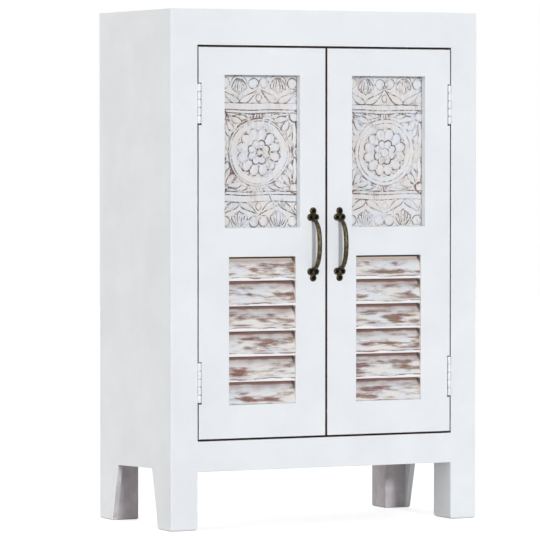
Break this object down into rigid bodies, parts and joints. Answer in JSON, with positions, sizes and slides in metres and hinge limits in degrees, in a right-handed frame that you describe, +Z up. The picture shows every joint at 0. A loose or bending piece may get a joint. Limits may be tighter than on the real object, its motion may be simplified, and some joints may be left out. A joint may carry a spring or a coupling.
{
  "type": "two-door cabinet",
  "caption": "Small upright painted wood cabinet with hinged doors, carved upper panels, louvred lower panels, bow handles, a fixed shelf and tapered feet.",
  "frame": {"origin": "on the floor, in the middle of the box that holds the whole cabinet with its handles", "axes": "+Z up along the height, the doors face -Y, +X to the right as seen from the front"},
  "size_m": [0.6, 0.33, 0.9],
  "materials": {
    "white_paint": "satin white paint on solid wood",
    "inside_paint": "thin flat white paint, grain showing",
    "carved_whitewash": "whitewashed carving with brown showing in the cuts",
    "worn_slat_paint": "white paint rubbed through to brown wood",
    "antique_bronze": "dark antique bronze, rubbed lighter on the grip",
    "painted_steel": "gloss white paint",
    "bare_steel": "plain steel",
    "catch_plastic": "off-white plastic with a magnet inside"
  },
  "bodies": {
    "case": {"back_leg_left": "white_paint", "back_leg_right": "white_paint", "back_panel": "inside_paint", "back_rail": "white_paint", "bottom_panel": "inside_paint", "bottom_rail": "white_paint", "front_leg_left": "white_paint", "front_leg_right": "white_paint", "left_lower_hinge_frame_leaf": "painted_steel", "left_lower_hinge_pin": "bare_steel", "left_upper_hinge_frame_leaf": "painted_steel", "left_upper_hinge_pin": "bare_steel", "magnetic_catch": "catch_plastic", "right_lower_hinge_frame_leaf": "painted_steel", "right_lower_hinge_pin": "bare_steel", "right_upper_hinge_frame_leaf": "painted_steel", "right_upper_hinge_pin": "bare_steel", "shelf": "inside_paint", "shelf_cleat_left": "inside_paint", "shelf_cleat_right": "inside_paint", "side_panel_left": "white_paint", "side_panel_right": "white_paint", "top_panel": "white_paint", "top_rail": "white_paint"},
    "left_door": {"door_left_bottom_rail": "white_paint", "door_left_carved_panel": "carved_whitewash", "door_left_handle": "antique_bronze", "door_left_hinge_stile": "white_paint", "door_left_inner_louvre_strip": "white_paint", "door_left_meeting_stile": "white_paint", "door_left_middle_rail": "white_paint", "door_left_outer_louvre_strip": "white_paint", "door_left_slat_1": "worn_slat_paint", "door_left_slat_2": "worn_slat_paint", "door_left_slat_3": "worn_slat_paint", "door_left_slat_4": "worn_slat_paint", "door_left_slat_5": "worn_slat_paint", "door_left_slat_6": "worn_slat_paint", "door_left_strike_plate": "bare_steel", "door_left_top_rail": "white_paint", "left_lower_hinge_door_leaf": "painted_steel", "left_upper_hinge_door_leaf": "painted_steel"},
    "right_door": {"door_right_bottom_rail": "white_paint", "door_right_carved_panel": "carved_whitewash", "door_right_handle": "antique_bronze", "door_right_hinge_stile": "white_paint", "door_right_inner_louvre_strip": "white_paint", "door_right_meeting_stile": "white_paint", "door_right_middle_rail": "white_paint", "door_right_outer_louvre_strip": "white_paint", "door_right_slat_1": "worn_slat_paint", "door_right_slat_2": "worn_slat_paint", "door_right_slat_3": "worn_slat_paint", "door_right_slat_4": "worn_slat_paint", "door_right_slat_5": "worn_slat_paint", "door_right_slat_6": "worn_slat_paint", "door_right_strike_plate": "bare_steel", "door_right_top_rail": "white_paint", "right_lower_hinge_door_leaf": "painted_steel", "right_upper_hinge_door_leaf": "painted_steel"}
  },
  "joints": [
    {"name": "left_door_hinge", "type": "hinge", "parent": "case", "child": "left_door", "pos_m": [-0.2457, -0.135, 0.49], "axis": [0, 0, -1], "range_deg": [0, 170]},
    {"name": "right_door_hinge", "type": "hinge", "parent": "case", "child": "right_door", "pos_m": [0.2457, -0.135, 0.49], "axis": [0, 0, 1], "range_deg": [0, 170]}
  ]
}
